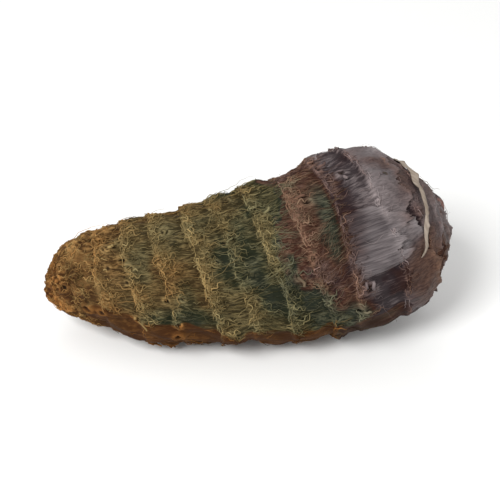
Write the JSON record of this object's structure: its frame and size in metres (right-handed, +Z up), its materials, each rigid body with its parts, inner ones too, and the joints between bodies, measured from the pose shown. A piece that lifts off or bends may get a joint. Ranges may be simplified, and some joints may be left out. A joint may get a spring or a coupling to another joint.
{
  "type": "yam tuber",
  "caption": "Tapered, ringed root tuber with a matted fibrous skin, a narrow scarred tail and a blunt budded crown, lying on its side as picked.",
  "frame": {"origin": "on the surface that the tuber lies on, under the middle of its box", "axes": "+X along the tuber from the narrow tail to the blunt crown, +Z up"},
  "size_m": [0.1262, 0.0568, 0.0542],
  "materials": {
    "skin": "dry matted root fibre, golden at the rings, olive brown between them, ochre at the tail and purple brown at the crown"
  },
  "bodies": {
    "root": {"tuber": "skin"}
  },
  "joints": []
}
